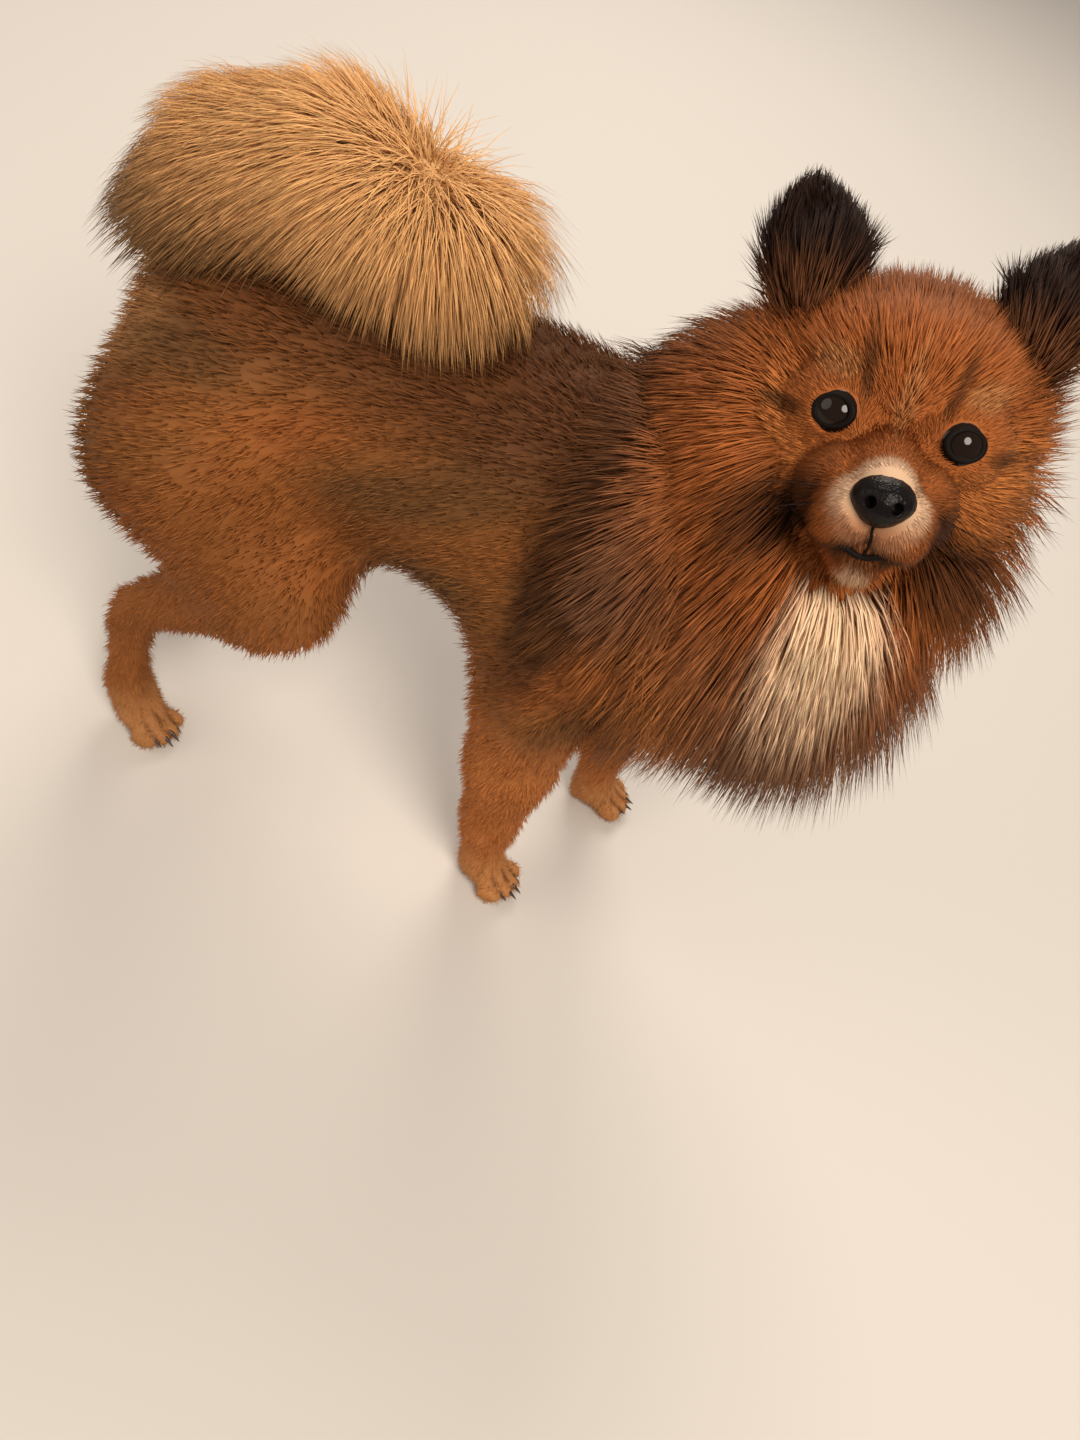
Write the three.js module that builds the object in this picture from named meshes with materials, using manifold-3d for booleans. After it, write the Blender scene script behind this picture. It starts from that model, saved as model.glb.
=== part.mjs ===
// A life-size Pomeranian that stands with its head turned to its right and its plumed tail over its back.
// Sizes are in millimetres, +X towards the chest, +Y to the dog's left, +Z up from the floor.
import * as THREE from "three";
import { mergeVertices } from "three/addons/utils/BufferGeometryUtils.js";
import Module from "manifold-3d";

const wasm = await Module();
wasm.setup();

const V = (x, y, z) => new THREE.Vector3(x, y, z);
const degrees = THREE.MathUtils.degToRad;

// Driving sizes
const GAP = 0.3;
const BACK_HEIGHT = 266;
const CHEST_DEPTH = 116;
const CHEST_WIDTH = 112;
const EYE_SPACING = 37;
const EYE_RADIUS = 8.6;
const NOSE_WIDTH = 19;
const EAR_LENGTH = 45;
const EAR_WIDTH = 36;
const EAR_DEPTH = 22;

// Where the main points of the stance lie
const CHEST = V(-8, 0, BACK_HEIGHT - CHEST_DEPTH / 2 + 2);
const LOIN = V(-95, 0, BACK_HEIGHT - 49);
const PELVIS = V(-158, 0, BACK_HEIGHT - 54);
const NECK_BASE = V(18, 0, BACK_HEIGHT - 30);
const HEAD = V(57, 10, 294);
const TAIL_ROOT = V(-192, 0, 243);

// The head turns to the dog's right, looks up and tips to its right side.
const HEAD_TURN = degrees(-94);
const HEAD_LIFT = degrees(31.5);
const HEAD_TIP = degrees(13.8);
const headPlace = new THREE.Matrix4()
  .makeRotationZ(HEAD_TURN)
  .multiply(new THREE.Matrix4().makeRotationY(-HEAD_LIFT))
  .multiply(new THREE.Matrix4().makeRotationX(HEAD_TIP));
headPlace.setPosition(HEAD);
const headBack = headPlace.clone().invert();

// Forms: each is a function of x, y, z, negative inside, that grows about 1 for each millimetre outside.
function taper(a, b, radiusA, radiusB) {
  const along = b.clone().sub(a);
  const length2 = along.lengthSq();
  return (x, y, z) => {
    const px = x - a.x;
    const py = y - a.y;
    const pz = z - a.z;
    const t = Math.min(1, Math.max(0, (px * along.x + py * along.y + pz * along.z) / length2));
    const off = Math.hypot(px - along.x * t, py - along.y * t, pz - along.z * t);
    return off - radiusA - (radiusB - radiusA) * t;
  };
}

// An egg shape round a centre, its three radii along the axes of an optional turn.
function egg(centre, radii, turn = new THREE.Euler()) {
  const back = new THREE.Matrix4().makeRotationFromEuler(turn).invert();
  const e = back.elements;
  return (x, y, z) => {
    const px = x - centre.x;
    const py = y - centre.y;
    const pz = z - centre.z;
    const qx = (e[0] * px + e[4] * py + e[8] * pz) / radii.x;
    const qy = (e[1] * px + e[5] * py + e[9] * pz) / radii.y;
    const qz = (e[2] * px + e[6] * py + e[10] * pz) / radii.z;
    const near = Math.hypot(qx, qy, qz);
    const slope = Math.hypot(qx / radii.x, qy / radii.y, qz / radii.z);
    return slope < 1e-9 ? -Math.min(radii.x, radii.y, radii.z) : (near * (near - 1)) / slope;
  };
}

// Joins forms into one with a soft fillet about `soft` millimetres wide.
function melt(soft, ...forms) {
  return (x, y, z) => {
    let sum = forms[0](x, y, z);
    for (let i = 1; i < forms.length; i++) {
      const next = forms[i](x, y, z);
      const h = Math.max(soft - Math.abs(sum - next), 0) / soft;
      sum = Math.min(sum, next) - (h * h * soft) / 4;
    }
    return sum;
  };
}

// A chain of tapers through points, each [point, radius].
function chain(soft, ...stops) {
  const links = stops.slice(1).map(([b, rb], i) => taper(stops[i][0], b, stops[i][1], rb));
  return melt(soft, ...links);
}

// A form drawn in the head's own axes, as it stands in the dog's.
function fromHeadAxes(form) {
  const p = V(0, 0, 0);
  return (x, y, z) => {
    p.set(x, y, z).applyMatrix4(headBack);
    return form(p.x, p.y, p.z);
  };
}

// What is left of a form where another one is taken away, with the rim rounded.
const carve = (soft, form, tool) => (x, y, z) => {
  const a = form(x, y, z);
  const b = -tool(x, y, z);
  const h = Math.max(soft - Math.abs(a - b), 0) / soft;
  return Math.max(a, b) + (h * h * soft) / 4;
};

// Grid lines from the first stop to the last, each stop [place, spacing up to the next stop].
function ticks(...stops) {
  const lines = [stops[0][0]];
  for (let i = 1; i < stops.length; i++) {
    const [from, spacing] = stops[i - 1];
    const count = Math.max(1, Math.round((stops[i][0] - from) / spacing));
    for (let k = 1; k <= count; k++) lines.push(from + ((stops[i][0] - from) * k) / count);
  }
  return lines;
}

// For an edge along each axis: the step to its other end, then the steps back to the four cells round it
const EDGE_TURNS = [
  [[1, 0, 0], [0, 1, 1], [0, 0, 1], [0, 0, 0], [0, 1, 0]],
  [[0, 1, 0], [1, 0, 1], [1, 0, 0], [0, 0, 0], [0, 0, 1]],
  [[0, 0, 1], [1, 1, 0], [0, 1, 0], [0, 0, 0], [1, 0, 0]],
];

// A closed mesh of a form's surface over a grid: one vertex in each cell that the surface crosses.
function skinOf(form, xs, ys, zs) {
  const [nx, ny, nz] = [xs.length, ys.length, zs.length];
  const at = (i, j, k) => i + nx * (j + ny * k);
  const value = new Float32Array(nx * ny * nz);
  for (let k = 0; k < nz; k++)
    for (let j = 0; j < ny; j++)
      for (let i = 0; i < nx; i++) {
        const rim = i === 0 || j === 0 || k === 0 || i === nx - 1 || j === ny - 1 || k === nz - 1;
        value[at(i, j, k)] = rim ? 1 : form(xs[i], ys[j], zs[k]) || 1e-6;
      }
  const inside = (i, j, k) => value[at(i, j, k)] < 0;
  const corner = [0, 1, 2, 3, 4, 5, 6, 7].map((c) => [c & 1, (c >> 1) & 1, c >> 2]);
  const edges = [];
  for (let a = 0; a < 8; a++)
    for (const bit of [1, 2, 4]) if (!(a & bit)) edges.push([corner[a], corner[a | bit]]);
  const vertexOf = new Map();
  const points = [];
  const cellVertex = (i, j, k) => {
    const key = at(i, j, k);
    if (vertexOf.has(key)) return vertexOf.get(key);
    const mean = V(0, 0, 0);
    let crossings = 0;
    for (const [a, b] of edges) {
      const va = value[at(i + a[0], j + a[1], k + a[2])];
      const vb = value[at(i + b[0], j + b[1], k + b[2])];
      if (va < 0 === vb < 0) continue;
      const t = va / (va - vb);
      mean.x += xs[i + a[0]] + (xs[i + b[0]] - xs[i + a[0]]) * t;
      mean.y += ys[j + a[1]] + (ys[j + b[1]] - ys[j + a[1]]) * t;
      mean.z += zs[k + a[2]] + (zs[k + b[2]] - zs[k + a[2]]) * t;
      crossings++;
    }
    mean.divideScalar(crossings);
    vertexOf.set(key, points.length / 3);
    points.push(mean.x, mean.y, mean.z);
    return vertexOf.get(key);
  };
  const faces = [];
  const far2 = (a, b) =>
    (points[a * 3] - points[b * 3]) ** 2 +
    (points[a * 3 + 1] - points[b * 3 + 1]) ** 2 +
    (points[a * 3 + 2] - points[b * 3 + 2]) ** 2;
  const quad = (a, b, c, d, flip) => {
    const q = flip ? [a, d, c, b] : [a, b, c, d];
    if (far2(q[0], q[2]) <= far2(q[1], q[3])) faces.push(q[0], q[1], q[2], q[0], q[2], q[3]);
    else faces.push(q[1], q[2], q[3], q[1], q[3], q[0]);
  };
  for (let k = 0; k < nz - 1; k++)
    for (let j = 0; j < ny - 1; j++)
      for (let i = 0; i < nx - 1; i++) {
        const here = inside(i, j, k);
        for (const turn of EDGE_TURNS) {
          const [ahead, ...round] = turn;
          if (here === inside(i + ahead[0], j + ahead[1], k + ahead[2])) continue;
          quad(...round.map(([a, b, c]) => cellVertex(i - a, j - b, k - c)), !here);
        }
      }
  const mesh = { numProp: 3, vertProperties: new Float32Array(points), triVerts: new Uint32Array(faces) };
  return new wasm.Manifold(new wasm.Mesh(mesh));
}

// The solid of a closed three.js geometry
const solidOf = (geometry) => {
  const g = geometry.clone();
  g.deleteAttribute("normal");
  g.deleteAttribute("uv");
  const merged = mergeVertices(g, 1e-3);
  return new wasm.Manifold(
    new wasm.Mesh({
      numProp: 3,
      vertProperties: new Float32Array(merged.attributes.position.array),
      triVerts: new Uint32Array(merged.index.array),
    }),
  );
};

// The largest closed body of a solid, without the slivers that its cuts leave.
const SLIVER = 0.2;
const keepLargest = (solid, tolerance = SLIVER) =>
  solid
    .simplify(tolerance)
    .decompose()
    .reduce((best, next) => (next.volume() > best.volume() ? next : best));

// The part of a solid that lies further than a cut, less half a gap or, for a grown solid, plus half a gap.
const beyond = (solid, cut, grow = 0) => {
  const n = cut.normal.clone().normalize();
  return solid.trimByPlane(n.toArray(), n.dot(cut.point) + (grow ? -GAP : GAP) / 2);
};
const flipped = (cut) => ({ normal: cut.normal.clone().negate(), point: cut.point });
const grownBy = (form, grow) => (x, y, z) => form(x, y, z) - grow;
const GROW = GAP * 3;
const COARSE_GROW = GAP * 8;

// Hair colours, and the gloss of each
const finishes = {
  orange: new THREE.MeshStandardMaterial({ color: 0xa35b28, roughness: 0.85, metalness: 0 }),
  sable: new THREE.MeshStandardMaterial({ color: 0x7a4a2a, roughness: 0.85, metalness: 0 }),
  cream: new THREE.MeshStandardMaterial({ color: 0xcf9a5c, roughness: 0.85, metalness: 0 }),
  dark: new THREE.MeshStandardMaterial({ color: 0x2a1712, roughness: 0.9, metalness: 0 }),
  eye: new THREE.MeshStandardMaterial({ color: 0x140a08, roughness: 0.05, metalness: 0 }),
  leather: new THREE.MeshStandardMaterial({ color: 0x1c1413, roughness: 0.45, metalness: 0 }),
  horn: new THREE.MeshStandardMaterial({ color: 0x241a17, roughness: 0.4, metalness: 0 }),
};

// Torso: ribcage, loin and pelvis under a coat clipped to about 10 mm
const torsoForm = melt(
  34,
  egg(CHEST, V(70, CHEST_WIDTH / 2, CHEST_DEPTH / 2)),
  egg(V(-52, 0, BACK_HEIGHT - 53), V(64, 51, 53)),
  egg(LOIN, V(60, 46, 48)),
  egg(PELVIS, V(54, 50, 54)),
);

// The neck and breast without their long coat
const breastForm = melt(
  26,
  taper(NECK_BASE, V(48, 6, 280), 46, 40),
  egg(V(38, -2, 214), V(40, 48, 52)),
);

// Legs. Each side has the foot where it stands and how it turns.
const FOOT_LENGTH = 38;
const FOOT_WIDTH = 27;
const TOE_RADIUS = 7.2;
const foreLegs = {
  right: {
    side: -1, elbow: V(-6, -40, 152), wrist: V(0, -39, 52),
    foot: V(10, -39, 0), turn: degrees(-12),
  },
  left: {
    side: 1, elbow: V(18, 38, 152), wrist: V(36, 37, 52),
    foot: V(46, 36, 0), turn: degrees(8),
  },
};
const hindLegs = {
  right: {
    side: -1, hip: V(-150, -30, 206), thigh: V(-163, -38, 186), stifle: V(-118, -47, 148),
    hock: V(-187, -43, 76), foot: V(-176, -50, 0), turn: degrees(-14),
  },
  left: {
    side: 1, hip: V(-150, 30, 206), thigh: V(-163, 38, 186), stifle: V(-128, 46, 148),
    hock: V(-200, 42, 76), foot: V(-190, 46, 0), turn: degrees(8),
  },
};

// A point near a foot: `ahead` of its middle, `out` to the outside, and `up`.
function footPoint(leg, ahead, out, up) {
  const p = V(ahead, out * leg.side, up);
  p.applyAxisAngle(V(0, 0, 1), leg.turn);
  return p.add(leg.foot);
}

const TOE_PLACES = [-1.5, -0.5, 0.5, 1.5];
const toeOut = (place) => (place * (FOOT_WIDTH - 2 * TOE_RADIUS)) / 3;
const toeAhead = (place) => FOOT_LENGTH / 2 - TOE_RADIUS + 1 - Math.abs(place) * 3.2;

function footForm(leg) {
  const toes = TOE_PLACES.map((place) =>
    taper(
      footPoint(leg, -4, toeOut(place) * 0.8, 13),
      footPoint(leg, toeAhead(place), toeOut(place), TOE_RADIUS - 1.2),
      TOE_RADIUS,
      TOE_RADIUS,
    ),
  );
  const heel = egg(footPoint(leg, -8, 0, 8), V(12, 11, 11));
  return melt(3, ...toes, heel);
}

const foreLegForm = (leg) =>
  melt(
    8,
    chain(
      14,
      [leg.elbow.clone().add(V(0, 0, 34)), 36],
      [leg.elbow, 29],
      [leg.elbow.clone().lerp(leg.wrist, 0.5), 22],
      [leg.wrist, 15.5],
      [footPoint(leg, -6, 0, 20), 13],
    ),
    footForm(leg),
  );

const hindLegForm = (leg) =>
  melt(
    8,
    melt(
      22,
      taper(leg.hip, leg.thigh, 36, 42),
      taper(leg.thigh, leg.stifle, 38, 30),
      taper(leg.stifle, leg.hock.clone().add(V(8, 0, 10)), 28, 15),
    ),
    chain(8, [leg.hock, 14.5], [footPoint(leg, -12, 0, 30), 12.5], [footPoint(leg, -6, 0, 16), 13]),
    footForm(leg),
  );

const foreForm = { right: foreLegForm(foreLegs.right), left: foreLegForm(foreLegs.left) };
const hindForm = { right: hindLegForm(hindLegs.right), left: hindLegForm(hindLegs.left) };
const bodyForm = melt(
  20,
  torsoForm,
  breastForm,
  foreForm.right,
  foreForm.left,
  hindForm.right,
  hindForm.left,
);

// Cuts between the torso and what grows from it. Each is a plane by its normal and a point on it.
const NECK_CUT = { normal: V(0.804, 0, 0.594), point: V(-25, 0, 285) };
const foreCut = (side) => ({ normal: V(0, 0.55 * side, -0.83), point: V(0, 22 * side, 150) });
const hindCut = (side) => ({ normal: V(-0.25, 0.75 * side, -0.6), point: V(-165, 20 * side, 186) });
const FORE_END = { normal: V(1, 0, 0), point: V(-62, 0, 0) };

// A block that fills the far side of a cut.
function farSide(cut) {
  const size = 600;
  const n = cut.normal.clone().normalize();
  const block = new THREE.BoxGeometry(size, size, size);
  block.applyQuaternion(new THREE.Quaternion().setFromUnitVectors(V(0, 0, 1), n));
  block.translate(...cut.point.clone().addScaledVector(n, (size - GAP) / 2).toArray());
  return solidOf(block);
}

function torso(grow = 0) {
  const form = grownBy(bodyForm, grow);
  const grid = [ticks([-226, 15], [90, 1]), ticks([-78, 14], [78, 1]), ticks([110, 14], [292, 1])];
  let solid = skinOf(form, ...grid);
  for (const side of [-1, 1]) {
    const fore = beyond(farSide(foreCut(side)), FORE_END, 1);
    const hind = beyond(farSide(hindCut(side)), flipped(FORE_END), 1);
    solid = solid.subtract(fore).subtract(hind);
  }
  return keepLargest(beyond(solid, flipped(NECK_CUT), grow));
}

function foreLeg(side, grow = 0) {
  const leg = foreLegs[side];
  const form = grownBy(melt(20, foreForm[side], torsoForm), grow);
  const step = grow ? 12 : 9;
  let solid = skinOf(
    form,
    ticks([leg.elbow.x - 56, step], [leg.elbow.x + 66, 1]),
    ticks(...(leg.side < 0 ? [[-78, step], [8, 1]] : [[-8, step], [78, 1]])),
    ticks([-6, grow ? 20 : 5], [27, step + 2], [190, 1]),
  );
  const halves = { normal: V(0, leg.side, 0), point: V(0, 0, 0) };
  solid = beyond(beyond(solid, foreCut(leg.side), grow), FORE_END, grow);
  return keepLargest(beyond(solid, halves, grow).trimByPlane([0, 0, 1], 0), 0.4);
}

function hindLeg(side) {
  const leg = hindLegs[side];
  const form = melt(20, hindForm[side], torsoForm);
  let solid = skinOf(
    form,
    ticks([-226, 10], [-60, 1]),
    ticks(...(leg.side < 0 ? [[-98, 9], [8, 1]] : [[-8, 9], [98, 1]])),
    ticks([-6, 5], [27, 12], [245, 1]),
  );
  const halves = { normal: V(0, leg.side, 0), point: V(0, 0, 0) };
  solid = beyond(beyond(solid, hindCut(leg.side)), flipped(FORE_END));
  return keepLargest(beyond(solid, halves).trimByPlane([0, 0, 1], 0), 0.4);
}

// Claws: short curved cones, each set in a socket at a toe's tip
const CLAW_LENGTH = 9;
const CLAW_RADIUS = 2;

function claw(leg, place, grown) {
  const sides = 6;
  const rings = 3;
  const cone = new THREE.ConeGeometry(1, 1, sides, rings);
  const p = cone.attributes.position;
  for (let i = 0; i < p.count; i++) {
    const along = p.getY(i) + 0.5;
    const swell = CLAW_RADIUS * (1 - 0.35 * along) + grown;
    const ahead = along * (CLAW_LENGTH + grown) - grown;
    p.setXYZ(i, ahead, p.getZ(i) * swell, p.getX(i) * swell * 1.15 - 3.6 * along * along);
  }
  cone.rotateZ(leg.turn);
  const root = footPoint(leg, toeAhead(place) + 2.6, toeOut(place), TOE_RADIUS + 0.4);
  cone.translate(root.x, root.y, root.z);
  return solidOf(cone);
}

// The head, in its own axes: +X along the muzzle, +Y to its left, +Z up, from between the ears' bases.
const EYE = V(26.4, EYE_SPACING / 2, 0);
const NOSE = V(60, 0, -20);
const skullForm = melt(
  10,
  egg(V(-9, 0, 6), V(37, 38, 36)),
  egg(V(0, 20, -12), V(23, 20, 22)),
  egg(V(0, -20, -12), V(23, 20, 22)),
  egg(V(9, 0, 14), V(18, 22, 18)),
);
const muzzleForm = melt(
  7,
  taper(V(24, 0, -12), V(53, 0, -17), 15, 9.5),
  egg(V(48, 8, -24), V(14, 10, 9.5)),
  egg(V(48, -8, -24), V(14, 10, 9.5)),
  taper(V(14, 0, -33), V(47, 0, -37), 13, 7),
);
const bareHeadForm = melt(9, skullForm, muzzleForm);

// The cheeks' and crown's long coat, out to its tips, as one plain form
const headCoatForm = melt(
  16,
  egg(V(-10, 0, 8), V(34, 50, 46)),
  egg(V(-6, 34, -14), V(30, 32, 38)),
  egg(V(-6, -34, -14), V(30, 32, 38)),
);
const headForm = melt(8, bareHeadForm, headCoatForm);
const HEAD_BACK = { normal: V(1, 0, 0), point: V(-26, 0, 0) };

function headBlock(grow = 0, step = 6.3) {
  const wide = step + 2;
  const grid = [
    ticks([-36, wide], [14, step], [78, 1]),
    ticks([-76, wide], [-30, step], [30, wide], [76, 1]),
    ticks([-70, wide], [-46, step], [10, wide], [68, 1]),
  ];
  return beyond(skinOf(grownBy(headForm, grow), ...grid), HEAD_BACK, grow);
}

// A closed rod of round section that follows a curve.
function rod(points, radius, steps) {
  const curve = new THREE.CatmullRomCurve3(points);
  const section = new THREE.Shape().absarc(0, 0, radius, 0, Math.PI * 2);
  const along = { steps, extrudePath: curve, curveSegments: 3, bevelEnabled: false };
  return solidOf(new THREE.ExtrudeGeometry(section, along));
}

const MOUTH_GROOVE = 1.1;
function mouthLine() {
  const half = [V(19, 22, -30), V(34, 19.5, -33), V(49, 14, -35), V(59.5, 5, -33.5)];
  const other = half.map((p) => V(p.x, -p.y, p.z)).reverse();
  return rod([...half, V(61, 0, -31), ...other], MOUTH_GROOVE, 26);
}

function lid(side) {
  const ring = new THREE.TorusGeometry(EYE_RADIUS * 0.78, 1.7, 5, 14);
  ring.scale(1.08, 0.92, 1);
  ring.rotateY(Math.PI / 2);
  ring.rotateZ(side * degrees(14));
  const out = V(EYE.x + 5.4, side * (EYE.y + 1.3), EYE.z);
  ring.translate(out.x, out.y, out.z);
  return solidOf(ring);
}

function eyeball(side, radius) {
  const ball = new THREE.SphereGeometry(radius, 14, 10);
  ball.rotateZ(Math.PI / 2);
  ball.rotateX(Math.PI / 2);
  return solidOf(ball.translate(EYE.x, side * EYE.y, EYE.z));
}

// The nose leather: a broad rounded pad with two nostrils that open forward and to the sides.
function noseLeather(grown) {
  const pad = new THREE.SphereGeometry(1, 14, 10);
  const p = pad.attributes.position;
  for (let i = 0; i < p.count; i++) {
    const [x, y, z] = [p.getX(i), p.getY(i), p.getZ(i)];
    const narrow = 1 - 0.22 * Math.max(0, -z);
    const widths = [8.5 + grown, (NOSE_WIDTH / 2) * narrow + grown, 7.6 + grown];
    p.setXYZ(i, x * widths[0], y * widths[1], z * widths[2]);
  }
  return solidOf(pad.translate(NOSE.x - 3, 0, NOSE.z));
}

function nostril(side) {
  const hole = new THREE.SphereGeometry(1, 8, 6);
  hole.scale(5, 1.9, 2.1);
  hole.rotateZ(side * degrees(32));
  return solidOf(hole.translate(NOSE.x + 5.2, side * 4.6, NOSE.z - 0.6));
}

function earShape(side, grown, shrink) {
  const sides = 14;
  const rings = 9;
  const cup = new THREE.SphereGeometry(1, sides, rings);
  const p = cup.attributes.position;
  for (let i = 0; i < p.count; i++) {
    const [x, y, z] = [p.getX(i), p.getY(i), p.getZ(i)];
    const up = (y + 1) / 2;
    const width = (EAR_WIDTH / 2) * (1 - 0.35 * up * up) - shrink;
    const deep = (EAR_DEPTH / 2) * (1 - 0.3 * up) - shrink;
    p.setXYZ(i, z * deep + grown, x * width, up * (EAR_LENGTH - shrink));
  }
  cup.rotateZ(side * degrees(26));
  cup.rotateX(-side * degrees(24));
  cup.rotateY(degrees(-10));
  return cup.translate(-10, side * 30, 26);
}

function ear(side) {
  const hollow = earShape(side, 6, 3).translate(1.5, 0, 1.5);
  return solidOf(earShape(side, 0, 0)).subtract(solidOf(hollow));
}

// One geometry for a solid
function geometryOf(solid) {
  const { vertProperties, triVerts } = solid.getMesh();
  const g = new THREE.BufferGeometry();
  g.setAttribute("position", new THREE.BufferAttribute(vertProperties, 3));
  g.setIndex(new THREE.BufferAttribute(triVerts, 1));
  return g;
}

const dog = new THREE.Group();
const headGroup = new THREE.Group();
dog.add(headGroup);

function add(name, solid, material, group = dog) {
  const mesh = new THREE.Mesh(geometryOf(solid), material);
  mesh.name = name;
  group.add(mesh);
  return mesh;
}

// A stream of numbers from 0 to 1 that comes out the same each time
function seeded(seed) {
  let state = seed;
  return () => {
    state = (state * 1664525 + 1013904223) % 4294967296;
    return state / 4294967296;
  };
}

// The way out of a form at a point
function outward(form, p) {
  const d = 0.5;
  return V(
    form(p.x + d, p.y, p.z) - form(p.x - d, p.y, p.z),
    form(p.x, p.y + d, p.z) - form(p.x, p.y - d, p.z),
    form(p.x, p.y, p.z + d) - form(p.x, p.y, p.z - d),
  ).normalize();
}

// Locks of long hair. Each is a flat blade that starts well inside its core, lies along the coat and ends in
// a point. It is widest a third of the way along.
const RINGS = 4;
const widthAlong = (t) => 0.62 + 0.38 * Math.sin(Math.PI * Math.min(1, t * 1.5)) - 0.42 * t * t;

function blade(path, normals, width, thick) {
  const points = [];
  for (let i = 0; i < RINGS; i++) {
    const along = path[i + 1].clone().sub(path[Math.max(0, i - 1)]).normalize();
    const across = normals[i].clone().cross(along).normalize();
    const up = along.clone().cross(across);
    const t = i / RINGS;
    const [w, h] = [(width / 2) * widthAlong(t), (thick / 2) * (1 - 0.4 * t)];
    for (const [a, b] of [[w, 0], [0, h], [-w, 0], [0, -h]])
      points.push(path[i].clone().addScaledVector(across, a).addScaledVector(up, b));
  }
  points.push(path[RINGS]);
  const faces = [0, 3, 2, 0, 2, 1];
  for (let i = 0; i < RINGS - 1; i++)
    for (let k = 0; k < 4; k++) {
      const [a, b] = [i * 4 + k, i * 4 + ((k + 1) % 4)];
      faces.push(a, b, b + 4, a, b + 4, a + 4);
    }
  const last = (RINGS - 1) * 4;
  for (let k = 0; k < 4; k++) faces.push(last + k, last + ((k + 1) % 4), RINGS * 4);
  const g = new THREE.BufferGeometry().setFromPoints(points);
  g.setIndex(faces);
  return solidOf(g);
}

// A coat of locks: `count` roots spread evenly round `centre` over the core, tips out to the form `tips`.
function locksOf({ core, tips, centre, count, length, width, lie, clear, seed }) {
  const random = seeded(seed);
  const locks = [];
  for (let i = 0; i < count; i++) {
    const z = 1 - (2 * i + 1) / count;
    const turn = i * 2.39996 + random() * 0.4;
    const out = V(Math.sqrt(1 - z * z) * Math.cos(turn), Math.sqrt(1 - z * z) * Math.sin(turn), z);
    const p = centre.clone().addScaledVector(out, 160);
    for (let k = 0; k < 40; k++) p.addScaledVector(out, -Math.max(-4, Math.min(12, core(p.x, p.y, p.z))));
    const rootNormal = outward(core, p);
    const depth = -tips(p.x, p.y, p.z);
    const reach = length * (0.8 + 0.4 * random());
    const over = 1 + 5 * random();
    const path = [p.clone().addScaledVector(rootNormal, -7)];
    const normals = [rootNormal];
    for (let k = 1; k <= RINGS; k++) {
      const t = k / RINGS;
      const normal = outward(tips, p);
      const way = lie(p).projectOnPlane(normal).normalize();
      p.addScaledVector(way, reach / RINGS);
      const level = (over + depth) * Math.pow(t, 0.8) - depth;
      p.addScaledVector(outward(tips, p), level - tips(p.x, p.y, p.z));
      path.push(p.clone());
      normals.push(normal);
    }
    const free = path.slice(1).every((q) => clear(q));
    if (depth > 6 && free) locks.push(blade(path, normals, width * (0.85 + 0.3 * random()), 7));
  }
  return locks;
}

// The neck's long ruff, out to its tips, as one plain form
const ruffForm = melt(
  30,
  egg(V(28, 6, 262), V(62, 74, 58)),
  egg(V(58, 2, 224), V(62, 72, 88)),
);
// The ruff stops short of the face, which looks out of it, and of the ears.
const faceClearing = fromHeadAxes(
  melt(
    6,
    egg(V(76, 0, 6), V(82, 78, 60)),
    egg(V(-10, 34, 46), V(22, 26, 32)),
    egg(V(-10, -34, 46), V(22, 26, 32)),
  ),
);
const RUFF_BACK = 6;
const RUFF_CORE = 0.5;
const ruffCore = carve(8, (x, y, z) => {
  const tips = melt(16, ruffForm, breastForm)(x, y, z);
  return tips + (breastForm(x, y, z) - tips) * RUFF_CORE;
}, faceClearing);

// The ruff's hair runs back and down, away from the face.
const FACE = V(20, 0, 0).applyMatrix4(headPlace);
const ruffLie = (p) => p.clone().sub(FACE).normalize().add(V(-0.25, 0, -0.6));
const ruffLocks = () =>
  locksOf({
    core: ruffCore,
    tips: ruffForm,
    centre: V(48, 2, 236),
    count: 62,
    length: 52,
    width: 27,
    lie: ruffLie,
    clear: (q) => faceClearing(q.x, q.y, q.z) > 3 && q.x + q.z * 0.12 > RUFF_BACK - 12,
    seed: 14,
  });

function neck() {
  const grid = [ticks([-44, 14], [132, 1]), ticks([-86, 14], [92, 1]), ticks([124, 14], [348, 1])];
  let solid = wasm.Manifold.union([skinOf(ruffCore, ...grid), ...ruffLocks()]);
  solid = solid.trimByPlane([1, 0, 0.12], RUFF_BACK - 18).subtract(torso(GROW));
  for (const side of ["right", "left"]) solid = solid.subtract(foreLeg(side, COARSE_GROW));
  return keepLargest(solid.subtract(headBlock(GAP * 6, 9).transform(headPlace.elements)));
}

// The tail rises from the rump, curls forward and lies over the back under its fan of long hair.
const tailForm = melt(
  20,
  egg(V(-130, 0, 288), V(74, 44, 34), new THREE.Euler(0, degrees(-4), 0)),
  egg(V(-176, 0, 262), V(36, 40, 30)),
);

const tailCore = chain(
  12,
  [TAIL_ROOT, 20],
  [V(-172, 0, 282), 25],
  [V(-140, 0, 296), 25],
  [V(-100, 0, 292), 22],
);

// The tail's hair fans out from a point over the loin and falls to both sides.
const FAN = V(-112, 0, 306);
const tailLie = (p) => p.clone().sub(FAN).normalize().add(V(0, 0, -0.4));
const tailLocks = () =>
  locksOf({
    core: tailCore,
    tips: tailForm,
    centre: V(-132, 0, 286),
    count: 58,
    length: 46,
    width: 24,
    lie: tailLie,
    clear: (q) => bodyForm(q.x, q.y, q.z) > -14,
    seed: 5,
  });

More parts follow.
